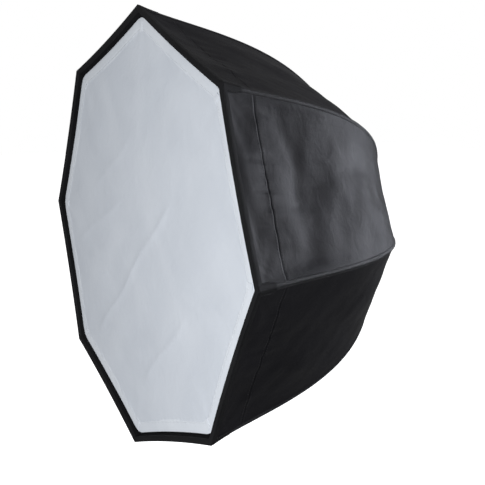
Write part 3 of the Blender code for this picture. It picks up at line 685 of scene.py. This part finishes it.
def make_rib_seams():
    for rib in range(RIB_COUNT):
        body = f"rib_{rib + 1}"
        tape, outer = strip(f"rib_seam_tape_{rib + 1}", rib, SEAM_TAPE_START,
                            SHELL_LENGTH - SEAM_TAPE_END_GAP, look="piping", **SEAM_TAPE)
        declare(tape, outer)
        seam = strip_stitches(f"rib_seam_stitches_{rib + 1}", rib, SEAM_TAPE_STITCH_SPAN[0],
                              SHELL_LENGTH - SEAM_TAPE_STITCH_SPAN[1], SEAM_TAPE_STITCHES,
                              SEAM_TAPE_STITCH_RISE)
        pocket, outer = strip(f"corner_pocket_{rib + 1}", rib, *POCKET_SPAN, look="tape", **POCKET)
        declare(pocket, outer)
        bar = strip_stitches(f"pocket_stitches_{rib + 1}", rib, *POCKET_STITCH_SPAN,
                             POCKET_STITCHES, POCKET_STITCH_RISE)
        for obj in (tape, seam, pocket, bar):
            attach(obj, body)


# ---------------------------------------------------------------- front edge and diffuser


def edge_strip(name, profile_outer, profile_inner, look, gore, u):
    """A strip along half a side of the rim, from two (radius, depth) profiles."""
    grids = []
    for profile in (profile_outer, profile_inner):
        radius = np.array([p[0] for p in profile])[:, None]
        depth = np.array([p[1] for p in profile])[:, None]
        grids.append(panel_point(gore, u[None, :], radius, RIM_STATION - depth))
    outer, inner = grids
    run = np.concatenate(([0.0], np.cumsum(np.linalg.norm(np.diff(outer[:, 0], axis=0), axis=1))))
    uv = np.stack(np.broadcast_arrays((u[None, :] - 0.5) * 0.3636 + gore, run[:, None]), -1)
    obj = panel(name, outer, -grid_normals(outer), inner, uv, [look])
    return obj, outer


def binding_profiles():
    """The edge tape folded round the front of the shell, outer and inner faces."""
    rear = shell_profile(t_at(0.0125))
    middle = shell_profile(t_at(0.006))
    outer = [(0.4625, 0.0030), (0.4628, 0.0004), (0.4650, -0.0008), (0.4700, -0.0012),
             (0.4742, -0.0012), (0.4762, 0.0004), (middle[1] + 0.0016, middle[0] + 0.0006),
             (rear[1] + 0.0013, rear[0] + 0.0004)]
    inner = [(0.4640, 0.0030), (0.4642, 0.0012), (0.4656, 0.0004), (0.4700, 0.0002),
             (0.4736, 0.0002), (0.4748, 0.0010), (middle[1] + 0.0004, middle[0]),
             (rear[1] + 0.0003, rear[0])]
    return outer, inner


def lip_profiles():
    """The black fastener band inside the front edge."""
    outer = [(0.4330, 0.0132), (0.4450, 0.0128), (0.4560, 0.0116), (0.4590, 0.0098),
             (0.4622, 0.0040), (0.4628, 0.0022)]
    inner = [(0.4330, 0.0142), (0.4452, 0.0138), (0.4566, 0.0128), (0.4600, 0.0108),
             (0.4632, 0.0050), (0.4638, 0.0032)]
    return outer, inner


def make_front_edge():
    us = np.linspace(0.0, 1.0, EDGE_COLUMNS + 1)
    keep = fold_share(RIM_RADIUS, RIM_STATION)
    kinds = (("binding", binding_profiles(), "tape"), ("fastener_band", lip_profiles(), "lip"))
    for gore in range(RIB_COUNT):
        for suffix, rib, columns in halves(gore, EDGE_COLUMNS):
            for kind, profiles, look in kinds:
                obj, outer = edge_strip(f"{kind}_{gore + 1}{suffix}", *profiles, look, gore,
                                        us[columns])
                if kind == "binding":
                    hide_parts("front_rim_band")
                declare(obj, outer)
                squash_half(obj, rib, keep)


# Fold memory in the diffuser, each a line (x, z) to (x, z), its height and softness
CREASES = (
    ((0.135, 0.090), (-0.224, -0.280), 0.0026, 0.0085),
    ((0.206, -0.128), (0.029, -0.318), 0.0021, 0.0085),
    ((-0.106, 0.061), (-0.351, -0.081), 0.0015, 0.0090),
    ((-0.060, 0.200), (-0.260, 0.060), 0.0013, 0.0100),
)


CREASE_SOFTNESS = 0.004
CREASE_BOW = 0.004
CREASE_BOW_WAVENUMBER = 24.0

# Ripples of the diffuser: (height, wavenumber in x, wavenumber in z, phase)
DIFFUSER_RIPPLES = (
    (0.0007, 9.0, 4.0, 0.0),
    (0.0006, -5.0, 13.0, 1.0),
    (0.0003, 31.0, -17.0, 0.6),
    (0.0003, 23.0, 37.0, 0.0),
)


def diffuser_relief(x, z):
    """Height of the diffuser in front of its own plane."""
    reach = np.hypot(x, z)
    total = sum(size * np.sin(kx * x + kz * z + phase) for size, kx, kz, phase in DIFFUSER_RIPPLES)
    for (x0, z0), (x1, z1), height, soft in CREASES:
        dx, dz = x1 - x0, z1 - z0
        length = math.hypot(dx, dz)
        along = ((x - x0) * dx + (z - z0) * dz) / length
        off = ((x - x0) * dz - (z - z0) * dx) / length
        bow = off + CREASE_BOW * np.sin(along * CREASE_BOW_WAVENUMBER)
        mask = smooth(along, -0.02, 0.04) * smooth(length - along, -0.02, 0.04)
        total += height * mask * np.exp(-(np.hypot(bow, CREASE_SOFTNESS) - CREASE_SOFTNESS) / soft)
    for rib in range(RIB_COUNT):
        a = rib_angle(rib)
        dx, dz = x - DIFFUSER_RADIUS * math.cos(a), z - DIFFUSER_RADIUS * math.sin(a)
        gap = np.hypot(dx, dz)
        bearing = np.arctan2(dz, dx) - a
        total += 0.0010 * np.exp(-gap / 0.07) * smooth(gap, 0.02, 0.05) * np.sin(9 * bearing + rib)
    return total * smooth(DIFFUSER_RADIUS - reach, 0.0, 0.10)


def corner_round(u):
    """Share of the radius that the diffuser loses at its rounded corners."""
    near = np.minimum(u, 1 - u)
    return CORNER_LOSS * np.exp(-((near / CORNER_SPREAD) ** 2))


def rim_distance(x, z):
    """Distance in from the diffuser's scalloped edge."""
    angle = np.arctan2(z, x)
    part = np.mod(angle - FIRST_RIB_ANGLE, RIB_STEP) / RIB_STEP
    bow = 4 * part * (1 - part)
    middle = np.cos(np.mod(angle - FIRST_RIB_ANGLE, RIB_STEP) - RIB_STEP / 2)
    side = DIFFUSER_RADIUS * (math.cos(RIB_STEP / 2) - SCALLOP * bow)
    return side * (1 - corner_round(part)) - np.hypot(x, z) * middle


def diffuser_height(x, z):
    """Height in front of the plane with the hem, its stitched groove and its rolled edge."""
    inward = rim_distance(x, z)
    hem = HEM_RISE * smooth(HEM_WIDTH + 0.0012 - inward, 0.0, 0.0024)
    from_groove = inward - HEM_WIDTH + HEM_GROOVE_INSET
    groove = HEM_GROOVE * np.exp(-((from_groove / HEM_GROOVE_HALF_WIDTH) ** 2))
    pucker = HEM_PUCKER * np.sin(HEM_PUCKER_WAVENUMBER * (x + z))
    pucker *= np.exp(-np.abs(inward - HEM_WIDTH) / HEM_PUCKER_REACH)
    rolled = EDGE_ROLL * smooth(EDGE_ROLL_WIDTH - inward, 0.0, EDGE_ROLL_WIDTH)
    return diffuser_relief(x, z) + hem - groove + pucker - rolled


def height_normals(height, x, z, step=0.0008):
    dx = (height(x + step, z) - height(x - step, z)) / (2 * step)
    dz = (height(x, z + step) - height(x, z - step)) / (2 * step)
    return unit(np.stack((-dx, -np.ones_like(dx), -dz), -1))


def make_flat_cloth(prefix, nodes, radius, station, split, height, looks, hem=None):
    """An octagonal sheet in half-gore wedges: their outer part rides on the ribs, the centre on the hub."""
    us = np.linspace(0.0, 1.0, DIFFUSER_COLUMNS + 1)
    inner_shares = np.linspace(0.0, split, 2 + int(split / CLOTH_ROW_SHARE))
    outer_shares = np.concatenate((
        np.linspace(split, 1 - EDGE_SHARE, 2 + int((1 - EDGE_SHARE - split) / CLOTH_ROW_SHARE))[:-1],
        np.linspace(1 - EDGE_SHARE, 1, EDGE_ROWS)))
    keep = fold_share(radius, station)
    for gore in range(RIB_COUNT):
        for suffix, rib, columns in halves(gore, DIFFUSER_COLUMNS):
            for part, shares in (("centre", inner_shares), ("side", outer_shares)):
                u = us[columns][None, :]
                loss = corner_round(u) * smooth(shares[:, None], 0.6, 1.0) if hem else 0.0
                flat = panel_point(gore, u, radius * shares[:, None] * (1 - loss), station)
                x, z = flat[..., 0], flat[..., 2]
                outer = flat.copy()
                outer[..., 1] -= height(x, z)
                normals = height_normals(height, x, z)
                inner = outer.copy()
                inner[..., 1] += DIFFUSER_THICKNESS
                uv = np.stack((x, z), -1)
                obj = panel(f"{prefix}_{part}_{gore + 1}{suffix}", outer, normals, inner, uv, looks)
                if hem and part == "side":
                    paint_hem(obj, hem)
                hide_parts(*nodes)
                declare(obj, outer)
                if part == "side":
                    squash_half(obj, rib, keep)
                else:
                    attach(obj, "hub")
                    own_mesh(obj)


def paint_hem(obj, look):
    """Gives the faces within the hem's width the hem's own cloth."""
    obj.data.materials.append(LOOKS[look])
    slot = len(obj.data.materials) - 1
    for face in obj.data.polygons:
        if rim_distance(np.float64(face.center.x), np.float64(face.center.z)) < HEM_WIDTH:
            face.material_index = slot


def make_diffuser():
    make_flat_cloth("diffuser", ["front_diffuser"], DIFFUSER_RADIUS, DIFFUSER_STATION,
                    DIFFUSER_SPLIT, diffuser_height, ["diffuser"],
                    hem="hem")
    keep = fold_share(DIFFUSER_RADIUS, DIFFUSER_STATION)
    for gore in range(RIB_COUNT):
        for suffix, rib, columns in halves(gore, 2):
            us = np.linspace(columns.start / 2, (columns.stop - 1) / 2, 60)
            stitch_radius = DIFFUSER_RADIUS - (HEM_WIDTH - 0.0035) / math.cos(RIB_STEP / 2)
            flat = panel_point(gore, us, stitch_radius * (1 - corner_round(us)), DIFFUSER_STATION)
            x, z = flat[..., 0], flat[..., 2]
            points = flat.copy()
            points[..., 1] -= diffuser_height(x, z) + STITCH_LIFT
            obj = stitches(f"hem_stitches_{gore + 1}{suffix}",
                           [(points, height_normals(diffuser_height, x, z))], "white_thread")
            squash_half(obj, rib, keep)


def make_hem_tabs():
    """Small folded tab sewn over the mitred hem at each corner of the diffuser."""
    for rib in range(RIB_COUNT):
        a = rib_angle(rib)
        radii = np.linspace(*TAB_RADII, 9)
        across = np.linspace(-TAB_HALF_WIDTH, TAB_HALF_WIDTH, 7)
        r, w = np.meshgrid(radii, across, indexing="ij")
        x = r * math.cos(a) - w * math.sin(a)
        z = r * math.sin(a) + w * math.cos(a)
        rise = TAB_RISE * (1 - 0.5 * (w / TAB_HALF_WIDTH) ** 4)
        outer = np.stack((x, -DIFFUSER_STATION - diffuser_height(x, z) - rise, z), -1)
        inner = outer + np.array((0.0, TAB_RISE * 0.8, 0.0))
        uv = np.stack((w, r), -1)
        obj = panel(f"hem_tab_{rib + 1}", outer, -grid_normals(outer), inner, uv, ["hem"])
        declare(obj, outer)
        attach(obj, f"rib_{rib + 1}")


BAFFLE_SAG = 0.0020
BAFFLE_RIPPLE = 0.0006


def baffle_height(x, z):
    """Height of the baffle in front of its own plane."""
    reach = np.hypot(x, z)
    sag = BAFFLE_SAG * np.sin(7 * x + 2) * np.cos(6 * z) + BAFFLE_RIPPLE * np.sin(41 * x + 19 * z)
    return sag * smooth(BAFFLE_RADIUS - reach, 0.0, 0.08)


def make_baffle():
    make_flat_cloth("baffle", ["inner_baffle"], BAFFLE_RADIUS, BAFFLE_STATION, BAFFLE_SPLIT,
                    baffle_height, ["diffuser"])
    rib_radius = float(shell_profile(t_at(STRAP_LENGTH_AT_RIB))[1]) - STRAP_RIB_GAP
    for rib in range(RIB_COUNT):
        a = rib_angle(rib)
        radii = np.linspace(BAFFLE_RADIUS - STRAP_OVERLAP, rib_radius, 14)
        across = np.linspace(-STRAP_HALF_WIDTH, STRAP_HALF_WIDTH, 5)
        r, w = np.meshgrid(radii, across, indexing="ij")
        x = r * math.cos(a) - w * math.sin(a)
        z = r * math.sin(a) + w * math.cos(a)
        ease = smooth(r, BAFFLE_RADIUS, rib_radius)
        outer = np.stack((x, -(BAFFLE_STATION + STRAP_LIFT[0] - STRAP_LIFT[1] * ease), z), -1)
        inner = outer + np.array((0.0, STRAP_THICKNESS, 0.0))
        uv = np.stack((w, r), -1)
        obj = panel(f"baffle_elastic_{rib + 1}", outer, -grid_normals(outer), inner, uv, ["elastic"])
        declare(obj, outer)
        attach(obj, f"rib_{rib + 1}")


# ---------------------------------------------------------------- rear collar


def make_collar():
    """Reinforced cloth ring where the gores end, folded over and stitched twice."""
    profile = shell_profile(SHELL_REAR_T)
    outer_radius = float(profile[1]) + 0.0004
    rows = (
        (COLLAR_INNER_RADIUS, 0.0062), (COLLAR_INNER_RADIUS - 0.0004, 0.0050),
        (COLLAR_INNER_RADIUS + 0.0012, 0.0040), (0.0765, 0.0036), (0.0840, 0.0036),
        (0.0910, 0.0036), (outer_radius - 0.0025, 0.0036), (outer_radius + 0.0002, 0.0042),
        (outer_radius + 0.0010, 0.0054), (outer_radius + 0.0004, 0.0064),
    )
    grids = []
    for lift in (0.0, COLLAR_THICKNESS):
        rings = []
        for gore in range(RIB_COUNT):
            us = np.linspace(0.0, 1.0, 9)[:-1]
            ring = []
            for radius, station in rows:
                corner = panel_point(gore, us, radius, station + lift)
                angle = rib_angle(gore) + RIB_STEP * us
                circle = np.stack((radius * np.cos(angle), np.full_like(us, -station - lift),
                                   radius * np.sin(angle)), -1)
                share = smooth(np.float64(radius), COLLAR_INNER_RADIUS, outer_radius - 0.004)
                ring.append(circle * (1 - share) + corner * share)
            rings.append(np.array(ring))
        grid = np.concatenate(rings, 1)
        grids.append(np.concatenate((grid, grid[:, :1]), 1))
    outer, inner = grids
    angles = np.linspace(0.0, 2 * math.pi, outer.shape[1])
    uv = np.stack(np.broadcast_arrays(angles[None, :] * 0.085,
                                      np.array([r for r, _ in rows])[:, None]), -1)
    normals = grid_normals(outer)
    obj = panel("collar_cloth", outer, normals, inner, uv, ["piping"])
    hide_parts("rear_collar")
    declare(obj, outer)
    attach(obj, "hub")
    lines = []
    for radius in COLLAR_STITCH_RADII:
        points = np.concatenate([
            panel_point(gore, np.linspace(0, 1, 21)[:-1], radius, COLLAR_STITCH_STATION)
            for gore in range(RIB_COUNT)])
        lines.append((points, np.tile((0.0, 1.0, 0.0), (len(points), 1))))
    thread = stitches("collar_stitches", lines)
    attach(thread, "hub")


# ---------------------------------------------------------------- hardware


NODE_LOOKS = (
    ("speedring", "cast"), ("hub_ring", "cast"), ("stop_ring", "plastic"), ("runner_ring", "plastic"),
    ("runner_hinge_wire", "steel"), ("button_spring", "steel"), ("guide_post", "zinc"),
    ("hub_pin", "zinc"), ("release_button", "red"), ("rib_tip_cap", "plastic"), ("rib", "steel"),
    ("strut", "cast"),
)


def squash_springs():
    """Gives each button spring a mesh of its own."""
    for number, angle in ((1, RIB_STEP / 2), (2, RIB_STEP / 2 + math.pi)):
        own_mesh(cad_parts[f"button_spring_{number}"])


def dress_hardware():
    """Gives every CAD node that stays its material."""
    for name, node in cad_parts.items():
        look = next((kind for start, kind in NODE_LOOKS if name.startswith(start)), None)
        if look is None:
            continue
        node.data.materials.clear()
        node.data.materials.append(LOOKS[look])


# ---------------------------------------------------------------- stage, light and camera


FLOOR_HALF_SIZE = 12.0
FLOOR_LEVEL = -1.30
FLOOR_GLOW = 0.85
WORLD_LIGHT = 0.20  # strength of the white world as a light; the camera sees it at 1
SUN_STRENGTH = 0.9
SUN_ANGLE = math.radians(40)


def make_stage():
    """A plain pale floor that only the camera sees, so that it throws no light from below."""
    mesh = bpy.data.meshes.new("floor")
    size, level = FLOOR_HALF_SIZE, FLOOR_LEVEL
    mesh.from_pydata([(-size, -size, level), (size, -size, level), (size, size, level),
                      (-size, size, level)], [], [(0, 1, 2, 3)])
    floor = bpy.data.objects.new("floor", mesh)
    bpy.context.scene.collection.objects.link(floor)
    look = Look("pale_floor", 0.9, Specular_IOR_Level=0.1, Emission_Strength=FLOOR_GLOW)
    place = look.coordinates(False)
    look.set("Base Color", look.mix(look.noise(place, 1.2, 2.0), (0.86, 0.86, 0.86), (0.90, 0.90, 0.90)))
    mesh.materials.append(look.material)
    floor.visible_diffuse = False
    floor.visible_glossy = False


def area_light(name, place, target, size, power, color):
    data = bpy.data.lights.new(name, "AREA")
    data.shape = "RECTANGLE"
    data.size, data.size_y = size
    data.energy = power
    data.color = color
    lamp = bpy.data.objects.new(name, data)
    lamp.location = place
    lamp.visible_camera = False
    lamp.rotation_euler = (Vector(target) - Vector(place)).to_track_quat("-Z", "Y").to_euler()
    bpy.context.scene.collection.objects.link(lamp)


def make_world():
    world = bpy.data.worlds.new("studio")
    bpy.context.scene.world = world
    world.use_nodes = True
    tree = world.node_tree
    background = tree.nodes["Background"]
    path = tree.nodes.new("ShaderNodeLightPath")
    strength = tree.nodes.new("ShaderNodeMapRange")
    tree.links.new(path.outputs["Is Camera Ray"], strength.inputs["Value"])
    strength.inputs["To Min"].default_value = WORLD_LIGHT
    strength.inputs["To Max"].default_value = 1.0
    tree.links.new(strength.outputs[0], background.inputs["Strength"])
    background.inputs["Color"].default_value = (1.0, 1.0, 1.0, 1.0)


# (name, place, target, size, watts, colour)
AREA_LIGHTS = (
    ("front_fill", (1.30, -2.35, -0.15), (0.1, -0.5, 0.0), (0.9, 0.9), 43.0, (0.96, 0.98, 1.0)),
    ("side_fill", (2.0, 2.1, 0.9), (0.0, -0.3, 0.0), (1.0, 1.0), 34.0, (0.92, 0.94, 1.0)),
    ("back_strip", (0.45, 2.3, 0.45), (0.0, -0.3, 0.0), (0.9, 1.3), 42.0, (0.87, 0.90, 1.0)),
)


def make_lights():
    for lamp in AREA_LIGHTS:
        area_light(*lamp)
    data = bpy.data.lights.new("overhead", "SUN")
    data.energy = SUN_STRENGTH
    data.angle = SUN_ANGLE
    bpy.context.scene.collection.objects.link(bpy.data.objects.new("overhead", data))


CAMERA = {"azimuth": 57.31, "elevation": 12.56, "roll": 2.01, "distance": 1.884, "lens": 60.4,
          "target": (0.0012, -0.2966, -0.0376)}


SENSOR_WIDTH_MM = 36.0
CLIP_RANGE = (0.05, 60.0)


def make_camera():
    azimuth, elevation = math.radians(CAMERA["azimuth"]), math.radians(CAMERA["elevation"])
    back = Vector((math.sin(azimuth) * math.cos(elevation), -math.cos(azimuth) * math.cos(elevation),
                   math.sin(elevation)))
    data = bpy.data.cameras.new("camera")
    data.lens = CAMERA["lens"]
    data.sensor_width = SENSOR_WIDTH_MM
    data.clip_start, data.clip_end = CLIP_RANGE
    camera = bpy.data.objects.new("camera", data)
    camera.location = Vector(CAMERA["target"]) + back * CAMERA["distance"]
    level = (-back).to_track_quat("-Z", "Y").to_matrix()
    camera.rotation_euler = (level @ Matrix.Rotation(math.radians(CAMERA["roll"]), 3, "Z")).to_euler()
    bpy.context.scene.collection.objects.link(camera)
    bpy.context.scene.camera = camera


# ---------------------------------------------------------------- assembly


def build():
    bpy.context.scene.view_settings.view_transform = "Standard"
    make_camera()
    make_stage()
    make_world()
    make_lights()
    make_shell()
    make_rib_seams()
    make_front_edge()
    make_diffuser()
    make_hem_tabs()
    make_baffle()
    make_collar()
    dress_hardware()
    squash_springs()


build()
